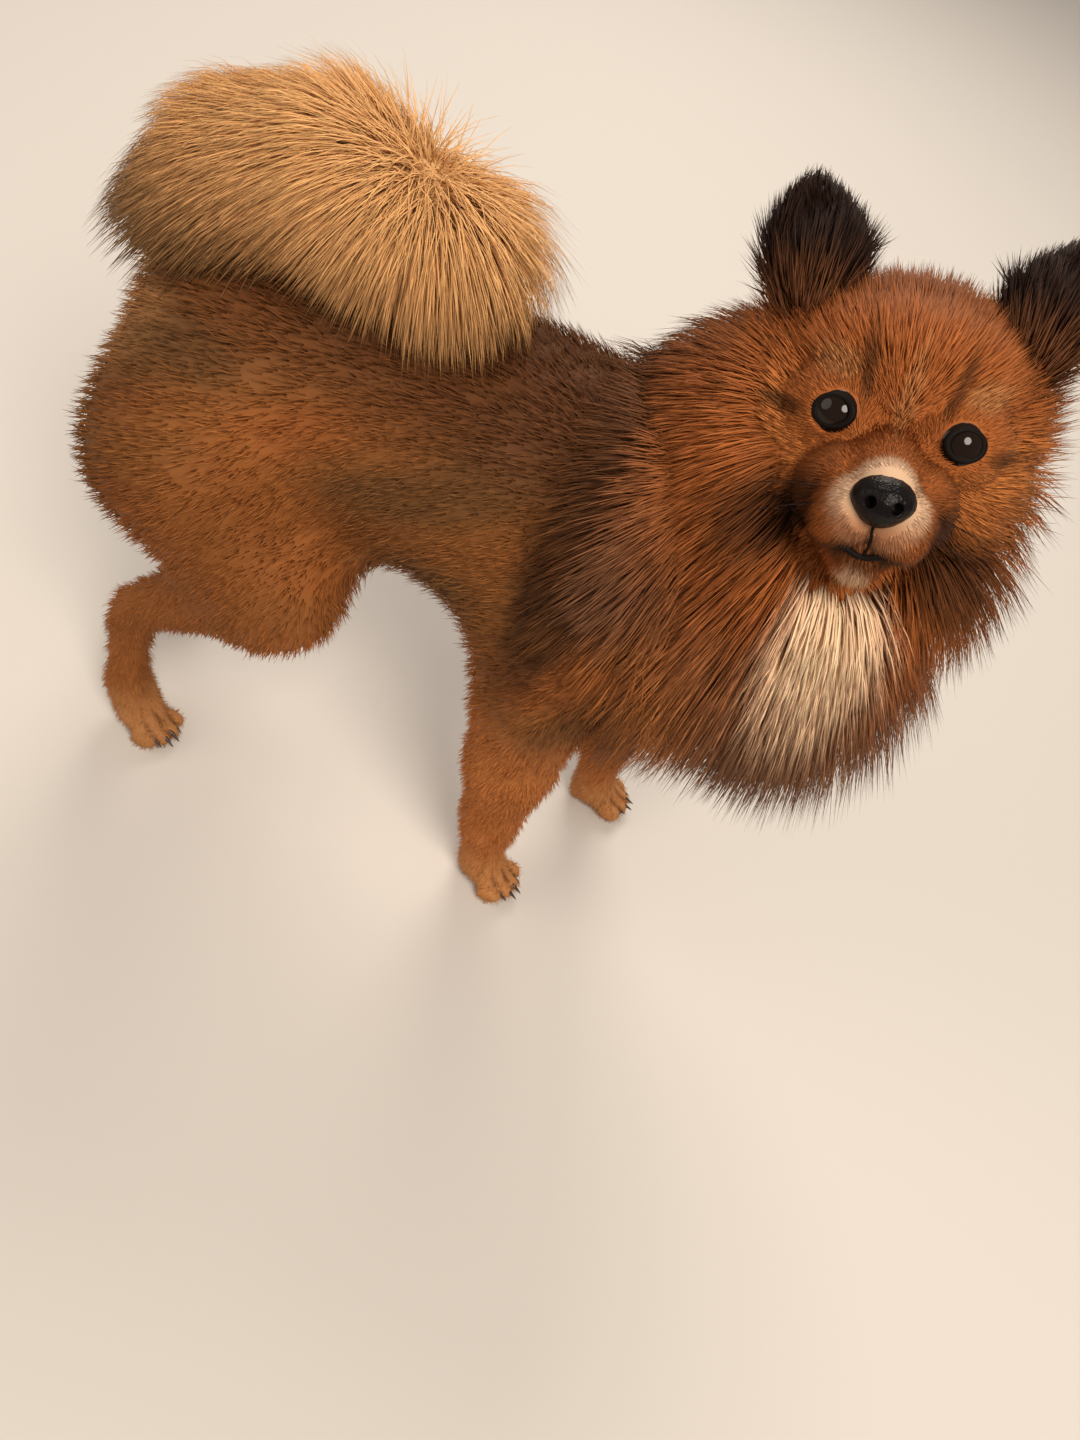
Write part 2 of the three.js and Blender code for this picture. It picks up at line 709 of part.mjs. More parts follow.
function tail() {
  const grid = [ticks([-226, 13], [-70, 1]), ticks([-40, 12], [40, 1]), ticks([216, 12], [340, 1])];
  const core = skinOf(tailCore, ...grid);
  return keepLargest(wasm.Manifold.union([core, ...tailLocks()]).subtract(torso(GROW)));
}

add("torso", torso(), finishes.orange);
for (const side of ["right", "left"]) {
  let fore = foreLeg(side);
  let hind = hindLeg(side);
  TOE_PLACES.forEach((place, i) => {
    fore = fore.subtract(claw(foreLegs[side], place, GAP));
    hind = hind.subtract(claw(hindLegs[side], place, GAP));
    add(`claw_fore_${side}_${i + 1}`, claw(foreLegs[side], place, 0), finishes.horn);
    add(`claw_hind_${side}_${i + 1}`, claw(hindLegs[side], place, 0), finishes.horn);
  });
  add(`leg_fore_${side}`, keepLargest(fore), finishes.orange);
  add(`leg_hind_${side}`, keepLargest(hind), finishes.orange);
}
add("neck", neck(), finishes.sable);
add("tail", tail(), finishes.cream);

let head = headBlock().add(lid(1)).add(lid(-1)).subtract(mouthLine()).subtract(noseLeather(GAP));
for (const side of [1, -1]) head = head.subtract(eyeball(side, EYE_RADIUS + GAP));
head = keepLargest(head);
add("head", head, finishes.orange, headGroup);
add("nose", noseLeather(0).subtract(nostril(1)).subtract(nostril(-1)), finishes.leather, headGroup);
for (const [name, side] of [["left", 1], ["right", -1]]) {
  add(`eye_${name}`, eyeball(side, EYE_RADIUS), finishes.eye, headGroup);
  add(`ear_${name}`, keepLargest(ear(side).subtract(headBlock(GROW))), finishes.dark, headGroup);
}
headGroup.applyMatrix4(headPlace);

// The frame's origin is on the floor under the middle of the dog.
dog.updateMatrixWorld(true);
const extent = new THREE.Box3();
dog.traverse((o) => {
  if (o.isMesh) extent.expandByObject(o, true);
});
const middle = extent.getCenter(V(0, 0, 0));
dog.position.set(-middle.x, -middle.y, -extent.min.z);

export default dog;
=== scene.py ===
import math

import bpy
import numpy as np
from mathutils import Matrix, Vector


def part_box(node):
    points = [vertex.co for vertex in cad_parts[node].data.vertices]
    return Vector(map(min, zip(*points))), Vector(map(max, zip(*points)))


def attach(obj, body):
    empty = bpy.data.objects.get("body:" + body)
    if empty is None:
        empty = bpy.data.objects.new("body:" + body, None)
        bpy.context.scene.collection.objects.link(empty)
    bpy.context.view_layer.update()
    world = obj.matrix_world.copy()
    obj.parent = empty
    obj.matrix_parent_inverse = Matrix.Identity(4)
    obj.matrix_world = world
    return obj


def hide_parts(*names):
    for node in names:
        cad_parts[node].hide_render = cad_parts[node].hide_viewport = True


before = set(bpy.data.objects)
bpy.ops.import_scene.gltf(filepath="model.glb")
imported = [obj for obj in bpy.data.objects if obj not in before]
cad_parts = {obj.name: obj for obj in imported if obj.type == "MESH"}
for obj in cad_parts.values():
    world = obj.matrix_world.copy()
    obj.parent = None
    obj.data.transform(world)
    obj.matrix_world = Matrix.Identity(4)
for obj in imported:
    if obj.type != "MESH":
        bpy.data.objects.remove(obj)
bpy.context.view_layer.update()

# The stance
# The dog stands with its head turned to its right, lifted and tipped. Places are in millimetres ahead, to
# the dog's left and up, from the floor under the withers, or on the head from the middle of the skull.
# STANCE moves them to where the solids stand.
MM = 0.001
SKULL = (57, 10, 294)
HEAD_TURN = math.radians(-94)
HEAD_LIFT = math.radians(31.5)
HEAD_TIP = math.radians(13.8)
EYE = Vector((26.4, 18.5, 0)) * MM
SIDES = {"right": -1, "left": 1}
head_axes = (
    Matrix.Translation(Vector(SKULL) * MM)
    @ Matrix.Rotation(HEAD_TURN, 4, "Z")
    @ Matrix.Rotation(-HEAD_LIFT, 4, "Y")
    @ Matrix.Rotation(HEAD_TIP, 4, "X")
)
head_turn = np.array(head_axes.to_3x3())
low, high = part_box("eye_right")
STANCE = (low + high) / 2 - head_axes @ Vector((EYE.x, -EYE.y, EYE.z))
head_place = Matrix.Translation(STANCE) @ head_axes


def head_point(x, y, z):
    """A place on the head, in metres of the model."""
    return head_place @ (Vector((x, y, z)) * MM)


def stance_of(points):
    """Places of the model, in metres, as millimetres of the stance."""
    return (points - np.array(STANCE)) / MM


def head_spots(spots):
    """Spots of the stance in the head's axes."""
    return (spots - np.array(head_axes.translation) / MM) @ head_turn


# The skin
# The living body under the hair, one skin from nose to tail. The trunk and legs are the solids drawn in by
# the depth of their clipped coat. The head, neck, tail and toes are rounded forms melted into it.
TRUNK_VOXEL = 2.6
SKIN_VOXEL = 1.85
SKIN_SMOOTHING = 6
SKIN_UNWRAP_GAP = 0.002
LEGS = ["leg_fore_right", "leg_fore_left", "leg_hind_right", "leg_hind_left"]

# The coat's depth on the feet, legs and trunk, and the heights between which it grows from one to the next
FOOT_COAT = 2.0
LEG_COAT = 4.0
TRUNK_COAT = 7.0
PASTERN = (18, 40)
ELBOW = (90, 170)

# The head's eggs, each a centre and three half sizes. Those off the middle are on both sides.
HEAD_EGGS = [
    ((-8, 0, 6), (36, 38, 35)),
    ((2, 20, -12), (22, 19, 20)),
    ((11, 0, 13), (21, 31, 20)),
    ((20.5, 18, 0), (13.4, 15, 14)),
    ((30, 12, -20), (18, 11, 12)),
    ((46.5, 8, -26), (13, 9.5, 11)),
]
HEAD_FORMS = []
for (x, y, z), radii in HEAD_EGGS:
    HEAD_FORMS.append(((x, y, z), radii))
    if y:
        HEAD_FORMS.append(((x, -y, z), radii))

# Limbs, each from one place to another, with a radius at either end
MUZZLE = ((22, 0, -13), (53, 0, -18), 14, 8.5)
JAW = ((10, 0, -31), (45, 0, -37), 14, 7)
NECK = ((18, 0, 236), (48, 8, 280), 42, 36)
LIMB_EGGS = 7
TAIL_BONE = [((-190, 0, 243), 17), ((-170, 0, 278), 20), ((-138, 0, 292), 20), ((-96, 0, 288), 18)]

# The eggs that fill out the neck, from the withers to the breast, throat and nape
NECK_FORMS = [
    ((24, 12, 260), (40, 43, 40)),
    ((0, 0, 227), (44, 54, 47)),
    ((54, 0, 228), (45, 52, 60)),
    ((76, 8, 260), (29, 36, 36)),
    ((64, 24, 274), (38, 33, 34)),
    ((38, -2, 214), (40, 48, 52)),
]

# Each foot's place on the floor, its side and how far it turns out, and the four toes in it
FEET = [((10, -39), -1, -12), ((46, 36), 1, 8), ((-176, -50), -1, -14), ((-190, 46), 1, 8)]
TOE_RADII = (6.6, 3.7, 5.0)
TOE_SPACING = 6.2
TOE_PLACES = (-1.5, -0.5, 0.5, 1.5)
TOE_REACH = 13.4
TOE_STEP_BACK = 3.2
TOE_HEIGHT = 5.4


def clear_selection():
    bpy.ops.object.select_all(action="DESELECT")


def only(piece):
    clear_selection()
    piece.select_set(True)
    bpy.context.view_layer.objects.active = piece


def settle():
    """Works the active object's place, turn and size into its mesh."""
    bpy.ops.object.transform_apply(location=True, rotation=True, scale=True)
    return bpy.context.object


def egg(centre, radii, on_head=False):
    clear_selection()
    bpy.ops.mesh.primitive_uv_sphere_add(segments=32, ring_count=20, radius=1)
    base = head_place if on_head else Matrix.Translation(STANCE)
    scale = Matrix.Diagonal((*(Vector(radii) * MM), 1))
    bpy.context.object.matrix_world = base @ Matrix.Translation(Vector(centre) * MM) @ scale
    return settle()


def limb(a, b, radius_a, radius_b, on_head=False):
    pieces = []
    for k in range(LIMB_EGGS):
        t = k / (LIMB_EGGS - 1)
        centre = Vector(a).lerp(Vector(b), t)
        radius = radius_a + (radius_b - radius_a) * t
        pieces.append(egg(centre, (radius, radius, radius), on_head))
    return pieces


def toe_eggs():
    eggs = []
    for (x, y), side, turn in FEET:
        for toe in TOE_PLACES:
            ahead = TOE_REACH - abs(toe) * TOE_STEP_BACK
            spot = Vector((ahead, toe * side * TOE_SPACING, TOE_HEIGHT))
            spot = Matrix.Rotation(math.radians(turn), 3, "Z") @ spot
            eggs.append(egg(spot + Vector((x, y, 0)), TOE_RADII))
    return eggs


def join(pieces, name):
    clear_selection()
    for piece in pieces:
        piece.select_set(True)
    bpy.context.view_layer.objects.active = pieces[0]
    bpy.ops.object.join()
    joined = bpy.context.object
    joined.name = name
    return joined


def remesh(piece, voxel):
    only(piece)
    piece.data.remesh_voxel_size = voxel * MM
    bpy.ops.object.voxel_remesh()
    return piece


def smooth(piece, rounds):
    only(piece)
    modifier = piece.modifiers.new("soften", "SMOOTH")
    modifier.factor = 0.5
    modifier.iterations = rounds
    bpy.ops.object.modifier_apply(modifier=modifier.name)


def unwrap(piece, margin):
    """Shades a piece smooth and unwraps it, with the margin given between its islands."""
    only(piece)
    bpy.ops.object.shade_smooth()
    bpy.ops.object.mode_set(mode="EDIT")
    bpy.ops.mesh.select_all(action="SELECT")
    bpy.ops.uv.smart_project(angle_limit=math.radians(66), island_margin=margin)
    bpy.ops.object.mode_set(mode="OBJECT")
    piece.data.uv_layers[0].name = "OFBake"


def copy_of(node):
    """A bare copy of a solid, with no material and no tie to its body."""
    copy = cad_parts[node].copy()
    copy.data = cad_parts[node].data.copy()
    copy.parent = None
    for key in list(copy.keys()):
        del copy[key]
    copy.data.materials.clear()
    bpy.context.scene.collection.objects.link(copy)
    return copy


def vertex_values(piece, what):
    values = np.empty(len(piece.data.vertices) * 3, np.float32)
    piece.data.vertices.foreach_get(what, values)
    return values.reshape(-1, 3).astype(float)


def ramp(value, start, end):
    """0 up to the start, 1 from the end, and a smooth rise between."""
    t = np.clip((value - start) / (end - start), 0, 1)
    return t * t * (3 - 2 * t)


trunk = remesh(join([copy_of(node) for node in ["torso", *LEGS]], "skin"), TRUNK_VOXEL)
smooth(trunk, SKIN_SMOOTHING)
points = vertex_values(trunk, "co")
height = stance_of(points)[:, 2]
depth = FOOT_COAT + (LEG_COAT - FOOT_COAT) * ramp(height, *PASTERN)
depth += (TRUNK_COAT - LEG_COAT) * ramp(height, *ELBOW)
points -= vertex_values(trunk, "normal") * depth[:, None] * MM
trunk.data.vertices.foreach_set("co", points.astype(np.float32).ravel())

forms = [egg(centre, radii, on_head=True) for centre, radii in HEAD_FORMS]
forms += toe_eggs()
forms += limb(*MUZZLE, on_head=True) + limb(*JAW, on_head=True)
forms += [egg(centre, radii) for centre, radii in NECK_FORMS]
for (a, radius_a), (b, radius_b) in zip(TAIL_BONE, TAIL_BONE[1:]):
    forms += limb(a, b, radius_a, radius_b)
forms += limb(*NECK)
skin = remesh(join([trunk, *forms], "skin"), SKIN_VOXEL)
smooth(skin, SKIN_SMOOTHING)
unwrap(skin, SKIN_UNWRAP_GAP)
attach(skin, "root")
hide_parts("torso", *LEGS, "neck", "tail", "head")


# The markings
# An orange sable coat: a rust orange head with dark streaks, a ruff that shades from rust to grey and umber
# with a white bib under the chin, a clipped golden brown trunk with a dark band behind the ruff, and a pale
# golden tail.
RUST = (0.42, 0.125, 0.03)
GOLDEN = (0.30, 0.112, 0.03)
ORANGE = (0.58, 0.20, 0.05)
TAN = (0.60, 0.29, 0.11)
CREAM = (0.84, 0.47, 0.19)
WHITE = (0.97, 0.68, 0.44)
PALE = (0.80, 0.55, 0.36)
SABLE = (0.045, 0.018, 0.008)
GREY = (0.17, 0.10, 0.06)
BLACK = (0.018, 0.008, 0.005)
UMBER = (0.13, 0.045, 0.015)
OLIVE = (0.15, 0.075, 0.028)
# The skin under the hair is painted darker than the coat: painted shade under the hair
SKIN_PAINTED_SHADE = 0.75
HAIR_ROUGHNESS = 0.62
HAIR_GLOSS = 0.12

# How far past its forms each region of the coat reaches, and the planes that end it
HEAD_MARGIN = 5
HEAD_LEAD = 3
HEAD_BACK = -30
TAIL_MARGIN = 6
TAIL_UNDERSIDE = 258
RUFF_MARGIN = 7
RUFF_SLANT = 0.12
RUFF_BACK = 14
FOOT_REACH = 26
FOOT_HEIGHT = 20

# Patches of the trunk and ruff: a centre and three half sizes
SHOULDER_BAND = ((-14, 46, 222), (15, 44, 62))
RIGHT_THIGH = ((-136, -56, 178), (40, 30, 46))
CROUP = ((-180, 40, 212), (22, 24, 30))
BUTTOCK = ((-198, 26, 232), (24, 36, 36))
RIGHT_SHOULDER = ((24, -56, 196), (34, 34, 34))
BIB = ((69, -54, 250), (17, 32, 34))

# The ruff's colours and lengths change in rings round this place
FACE_MIDDLE = (52, -16, 300)

# Patches of the face, in the head's own axes. Those off the middle are on both sides.
BEARD = ((14, 33, -40), (30, 18, 17))
CHEEK = ((10, 36, -12), (30, 20, 20))
EYEBROW = ((24, 20, 12), (12, 7, 4.5))
BROW_STREAK = ((28, 12, 12), (12, 2.6, 9))
BLAZE = ((32, 0, 6), (16, 2.4, 14))
EYE_CORNER = ((20, 30, -2), (13, 8, 3.2))
JOWL = ((24, 24, -32), (18, 9, 9))
MUZZLE_SIDE = ((38, 16, -22), (12, 8, 11))
LIP_SIDE = ((37, 18, -27), (18, 8, 10))
CHIN = ((50, 0, -44), (12, 8, 5))
NOSE = (58, 0, -21)

# The line of the lips, from the left corner to the middle, and from there to the right corner
MOUTH_MIDDLE = (55, 0, -37.5)
HALF_MOUTH = [
    (20, 22, -27),
    (27, 20.5, -30),
    (34, 18.5, -32.5),
    (42, 16, -34.5),
    (49, 12, -36),
    (54, 6, -37),
]
MOUTH = HALF_MOUTH + [MOUTH_MIDDLE] + [(x, -y, z) for x, y, z in reversed(HALF_MOUTH)]


def distance(spots, place):
    return np.linalg.norm(spots - np.array(place), axis=1)


def egg_reach(spots, centre, radii):
    """How far spots lie outside an egg, in its own units, 0 at its surface."""
    return np.linalg.norm((spots - np.array(centre)) / np.array(radii), axis=1) - 1


def bone_reach(spots, a, b):
    """The distance of spots from a line between two points."""
    start = np.array(a, float)
    along = np.array(b, float) - start
    t = np.clip((spots - start) @ along / (along @ along), 0, 1)
    return np.linalg.norm(spots - start - t[:, None] * along, axis=1)


def patch(spots, centre, radii):
    """1 at a patch's centre, 0 past its rim."""
    return 1 - ramp(egg_reach(spots, centre, radii) + 1, 0.55, 1.25)


def nearest_egg(spots, eggs):
    """About how far spots lie outside the nearest of some eggs, in millimetres."""
    return np.min([egg_reach(spots, centre, radii) * np.mean(radii) for centre, radii in eggs], axis=0)


def regions(spots):
    """Which spots belong to the head, to the tail and to the ruff."""
    seen = head_spots(spots)
    head_near = nearest_egg(seen, HEAD_FORMS)
    for a, b, radius, _ in (MUZZLE, JAW):
        head_near = np.minimum(head_near, bone_reach(seen, a, b) - radius)
    neck_near = nearest_egg(spots, NECK_FORMS)
    tail_near = np.full(len(spots), np.inf)
    for (a, radius), (b, _) in zip(TAIL_BONE, TAIL_BONE[1:]):
        tail_near = np.minimum(tail_near, bone_reach(spots, a, b) - radius)
    head = (head_near < HEAD_MARGIN) & (head_near < neck_near + HEAD_LEAD) & (seen[:, 0] > HEAD_BACK)
    tail = (tail_near < TAIL_MARGIN) & (spots[:, 2] > TAIL_UNDERSIDE)
    ruff = (neck_near < RUFF_MARGIN) & (spots[:, 0] + RUFF_SLANT * spots[:, 2] > RUFF_BACK) & ~head
    return head, tail, ruff


def mouth_reach(seen):
    """The distance of spots, in the head's axes, from the line of the lips."""
    return np.min([bone_reach(seen, a, b) for a, b in zip(MOUTH, MOUTH[1:])], axis=0)


def toe_groove_shade(spots):
    """Painted shade in the grooves between a foot's toes: 1 along the grooves, 0 elsewhere."""
    grooves = np.zeros(len(spots))
    for (x, y), _, turn in FEET:
        cosine = math.cos(math.radians(turn))
        sine = math.sin(math.radians(turn))
        ahead = (spots[:, 0] - x) * cosine + (spots[:, 1] - y) * sine
        out = (spots[:, 1] - y) * cosine - (spots[:, 0] - x) * sine
        between = 0.5 + 0.5 * np.cos(2 * math.pi * out / TOE_SPACING)
        near = (np.abs(out) < 1.5 * TOE_SPACING) & (np.abs(ahead) < FOOT_REACH)
        near &= spots[:, 2] < FOOT_HEIGHT
        grooves = np.maximum(grooves, near * ramp(between, 0.72, 0.95) * ramp(ahead, 3, 9))
    return grooves


def plain(colour, count):
    return np.tile(np.array(colour), (count, 1))


def blend(colours, other, amount):
    amount = np.clip(amount, 0, 1)[:, None]
    return colours * (1 - amount) + np.array(other) * amount


def both_sides(spots):
    """Spots with those of the right side moved to the left."""
    return np.column_stack([spots[:, 0], np.abs(spots[:, 1]), spots[:, 2]])


def trunk_colours(spots):
    x, y, z = spots.T
    sides = both_sides(spots)
    waves = np.sin(x * 0.061 + 2 * np.sin(z * 0.043))
    mottle = waves * np.sin(z * 0.071 + 1.7 * np.sin(y * 0.05 + x * 0.023))
    colours = blend(plain(GOLDEN, len(spots)), RUST, ramp(mottle, 0.0, 0.9) * 0.55)
    colours = blend(colours, OLIVE, ramp(-mottle, 0.0, 0.9) * 0.6)
    colours = blend(colours, UMBER, ramp(z, 226, 258) * 0.85)
    colours = blend(colours, SABLE, patch(sides, *SHOULDER_BAND) * 0.75)
    colours = blend(colours, ORANGE, patch(spots, *RIGHT_THIGH) * 0.7)
    colours = blend(colours, OLIVE, patch(sides, *CROUP) * 0.6)
    colours = blend(colours, TAN, patch(sides, *BUTTOCK) * 0.45)
    colours = blend(colours, TAN, ramp(-x, 194, 210) * 0.75)
    colours = blend(colours, ORANGE, (1 - ramp(z, 120, 176)) * 0.85)
    colours = colours * (1 - 0.35 * ramp(-x, 80, 130) * (1 - ramp(z, 180, 230)))[:, None]
    colours = blend(colours, TAN, (1 - ramp(z, 12, 40)) * 0.55)
    # The feet get painted shade along the creases between the toes
    return blend(colours, UMBER, toe_groove_shade(spots) * 0.7)


def ruff_colours(spots):
    outward = distance(spots, FACE_MIDDLE)
    colours = blend(plain(RUST, len(spots)), GREY, ramp(outward, 60, 104) * 0.72)
    colours = blend(colours, UMBER, ramp(outward, 112, 136) * 0.6)
    colours = blend(colours, ORANGE, patch(spots, *RIGHT_SHOULDER) * 0.6)
    colours = blend(colours, SABLE, patch(both_sides(head_spots(spots)), *BEARD) * 0.8)
    return blend(colours, WHITE, patch(spots, *BIB))


def tail_colours(spots):
    z = spots[:, 2]
    colours = blend(plain(CREAM, len(spots)), TAN, (1 - ramp(z, 286, 306)) * 0.6)
    return blend(colours, OLIVE, (1 - ramp(z, 262, 286)) * 0.7)


def face_colours(spots):
    seen = head_spots(spots)
    sides = both_sides(seen)
    up = seen[:, 2]
    beard = np.maximum(patch(sides, *BEARD), patch(sides, *JOWL))
    muzzle_rim = (1 - ramp(distance(seen, NOSE), 11.8, 16)) * (0.85 - 0.6 * ramp(-up, 20, 30))
    colours = blend(plain(RUST, len(spots)), ORANGE, patch(sides, *CHEEK) * 0.85)
    colours = blend(colours, UMBER, ramp(up, 18, 40) * 0.5)
    colours = blend(colours, TAN, patch(sides, *EYEBROW) * 0.5)
    colours = blend(colours, SABLE, patch(sides, *BROW_STREAK) * 0.65)
    colours = blend(colours, TAN, patch(seen, *BLAZE) * 0.35)
    colours = blend(colours, SABLE, patch(sides, *EYE_CORNER) * 0.75)
    colours = blend(colours, SABLE, beard * 0.8)
    colours = blend(colours, UMBER, patch(sides, *MUZZLE_SIDE) * 0.45)
    colours = blend(colours, PALE, muzzle_rim)
    colours = blend(colours, SABLE, patch(sides, *LIP_SIDE) * 0.75)
    colours = blend(colours, SABLE, (1 - ramp(mouth_reach(seen), 2.0, 6.5)) * 0.88)
    return blend(colours, PALE, patch(seen, *CHIN) * 0.8)


def markings(spots):
    """The coat's colour at spots of the stance."""
    head, tail, ruff = regions(spots)
    colours = trunk_colours(spots)
    colours[ruff] = ruff_colours(spots[ruff])
    colours[tail] = tail_colours(spots[tail])
    colours[head] = face_colours(spots[head])
    return colours


def paint(piece, colours):
    layer = piece.data.color_attributes.new("coat_colour", "FLOAT_COLOR", "POINT")
    values = np.ones((len(colours), 4), np.float32)
    values[:, :3] = np.clip(colours, 0, 1)
    layer.data.foreach_set("color", values.ravel())


hair = bpy.data.materials.new("hair")
hair.use_nodes = True
hair_shader = hair.node_tree.nodes["Principled BSDF"]
hair_shader.inputs["Roughness"].default_value = HAIR_ROUGHNESS
hair_shader.inputs["Specular IOR Level"].default_value = HAIR_GLOSS
hair_colour = hair.node_tree.nodes.new("ShaderNodeVertexColor")
hair_colour.layer_name = "coat_colour"
hair.node_tree.links.new(hair_colour.outputs["Color"], hair_shader.inputs["Base Color"])
# The skin takes the coat's markings, darkened as painted shade under the hair
paint(skin, markings(stance_of(vertex_values(skin, "co"))) * SKIN_PAINTED_SHADE)
skin.data.materials.append(hair)


# The ears
# Small upright ears set wide on the crown, near black, each on a root that joins it to the head.
EAR_VOXEL = 1.3
EAR_UNWRAP_GAP = 0.004
EAR_ROOT = (-10, 35, 36)
EAR_ROOT_RADII = (9, 12, 19)
ears = {}
for side, sign in SIDES.items():
    x, y, z = EAR_ROOT
    ear_root = egg((x, sign * y, z), EAR_ROOT_RADII, on_head=True)
    ear = remesh(join([ear_root, copy_of("ear_" + side)], "ear_skin_" + side), EAR_VOXEL)
    smooth(ear, SKIN_SMOOTHING)
    unwrap(ear, EAR_UNWRAP_GAP)
    paint(ear, plain(BLACK, len(ear.data.vertices)))
    ear.data.materials.append(hair)
    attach(ear, "root")
    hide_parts("ear_" + side)
    ears[side] = ear


# The coat
# Double coat of hair in fine tufts, each a closed tapering blade rooted in the skin. It lies back along the
# trunk, down the legs, away from the nose on the face and ruff, and fans out over the tail.
HAIR_SEED = 21

# Each blade: how deep it's rooted, how much it narrows, how flat and how turned it is. Its corners lie in a
# small ring on the unwrap, round the place of its root.
ROOT_DEPTH = 0.8
TIP_TAPER = 0.62
BLADE_FLATNESS = 0.6
BLADE_TURN = 0.5
UNWRAP_RING = 0.0012
UNWRAP_STEP = 2.1
random = np.random.default_rng(HAIR_SEED)


def unit(vectors):
    return vectors / np.maximum(np.linalg.norm(vectors, axis=1), 1e-9)[:, None]


class Ground:
    """A skin's triangles, to draw roots from."""

    def __init__(self, piece):
        mesh = piece.data
        mesh.calc_loop_triangles()
        count = len(mesh.loop_triangles)
        corners = np.empty(count * 3, np.int32)
        mesh.loop_triangles.foreach_get("vertices", corners)
        loops = np.empty(count * 3, np.int32)
        mesh.loop_triangles.foreach_get("loops", loops)
        flat = np.empty(len(mesh.loops) * 2, np.float32)
        mesh.uv_layers["OFBake"].data.foreach_get("uv", flat)
        self.corners = corners.reshape(-1, 3)
        self.points = vertex_values(piece, "co")
        self.normals = vertex_values(piece, "normal")
        self.flat = flat.reshape(-1, 2)[loops.reshape(-1, 3)]
        a, b, c = (self.points[self.corners[:, k]] for k in range(3))
        self.area = np.linalg.norm(np.cross(b - a, c - a), axis=1) / 2
        self.middle = (a + b + c) / 3

    def roots(self, weight, count):
        """Random roots by area and weight: their places, normals and places on the unwrap."""
        share = self.area * weight
        chosen = random.choice(len(share), count, p=share / share.sum())
        u, v = random.random((2, count))
        over = u + v > 1
        u[over] = 1 - u[over]
        v[over] = 1 - v[over]
        mix = np.column_stack([1 - u - v, u, v])
        at = np.einsum("ij,ijk->ik", mix, self.points[self.corners[chosen]])
        normal = np.einsum("ij,ijk->ik", mix, self.normals[self.corners[chosen]])
        flat = np.einsum("ij,ijk->ik", mix, self.flat[chosen])
        return at, unit(normal), flat


def blade_faces(rings):
    """The triangles of one blade: its root's end, its sides and its tip."""
    faces = [(0, 2, 1)]
    for ring in range(rings - 1):
        for corner in range(3):
            a = ring * 3 + corner
            b = ring * 3 + (corner + 1) % 3
            faces += [(a, b, b + 3), (a, b + 3, a + 3)]
    last = (rings - 1) * 3
    faces += [(last + corner, last + (corner + 1) % 3, rings * 3) for corner in range(3)]
    return np.array(faces)


def mesh_of(name, points, faces):
    """A smooth mesh of triangles, made at once from arrays."""
    mesh = bpy.data.meshes.new(name)
    mesh.vertices.add(len(points))
    mesh.vertices.foreach_set("co", points.astype(np.float32).ravel())
    mesh.loops.add(len(faces) * 3)
    mesh.loops.foreach_set("vertex_index", faces.astype(np.int32).ravel())
    mesh.polygons.add(len(faces))
    mesh.polygons.foreach_set("loop_start", np.arange(0, len(faces) * 3, 3, dtype=np.int32))
    mesh.polygons.foreach_set("use_smooth", np.ones(len(faces), bool))
    mesh.update(calc_edges=True)
    return mesh


def tone_at(tones, t):
    root, middle, tip = tones
    if t < 0.5:
        return root * (1 - t) + middle * t
    return middle * (2 - 2 * t) + tip * (2 * t - 1)


def tufts(name, rings, roots, start, end, length, width, tones):
    """Closed three-sided blades. Each leaves its root along start, bends to end and narrows to a point."""
    at, normal, flat = roots
    count = len(at)
    size = rings * 3 + 1
    across = unit(np.cross(start, normal) + 1e-6)
    up = unit(np.cross(across, start))
    points = np.empty((count, size, 3))
    shades = np.empty((count, size, 3))
    for ring in range(rings):
        t = ring / rings
        way = start * (t - t * t / 2) + end * (t * t / 2)
        centre = at - start * ROOT_DEPTH * MM + way * length[:, None]
        half = width * (1 - TIP_TAPER * t) / 2
        for corner in range(3):
            angle = 2 * math.pi * corner / 3 + BLADE_TURN
            offset = across * math.cos(angle) + up * math.sin(angle) * BLADE_FLATNESS
            points[:, ring * 3 + corner] = centre + offset * half[:, None]
            shades[:, ring * 3 + corner] = tone_at(tones, t)
    points[:, -1] = at + (start / 2 + end / 2) * length[:, None]
    shades[:, -1] = tones[2]
    faces = blade_faces(rings)
    every = (faces[None] + (np.arange(count) * size)[:, None, None]).reshape(-1, 3)
    mesh = mesh_of(name, points.reshape(-1, 3), every)
    steps = np.arange(size) * UNWRAP_STEP
    spread = np.column_stack([np.cos(steps), np.sin(steps)]) * UNWRAP_RING
    unwrapped = np.repeat(flat, len(faces) * 3, axis=0) + np.tile(spread[faces.ravel()], (count, 1))
    layer = mesh.uv_layers.new(name="OFBake")
    layer.data.foreach_set("uv", np.clip(unwrapped, 0, 1).astype(np.float32).ravel())
    coat = bpy.data.objects.new(name, mesh)
    bpy.context.scene.collection.objects.link(coat)
    paint(coat, shades.reshape(-1, 3))
    mesh.materials.append(hair)
    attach(coat, "root")


def flatten(direction, normal):
    """A direction laid along the skin."""
    return unit(direction - normal * np.sum(direction * normal, axis=1)[:, None])


def vary(count, least, most):
    return random.uniform(least, most, count)


def jitter(vectors, amount):
    return unit(vectors + random.normal(0, amount, vectors.shape))


def three_tones(base, root, tip, spread):
    """A tuft's colour at its root, middle and tip, varied from tuft to tuft. The root factor darkens the
    base as painted shade deep in the coat.
    """
    tone = 1 + random.normal(0, spread, len(base))[:, None]
    return base * root * tone, base * tone, tip * tone


ground = Ground(skin)
middles = stance_of(ground.middle)
on_head, on_tail, on_ruff = regions(middles)
on_body = ~(on_head | on_tail | on_ruff)

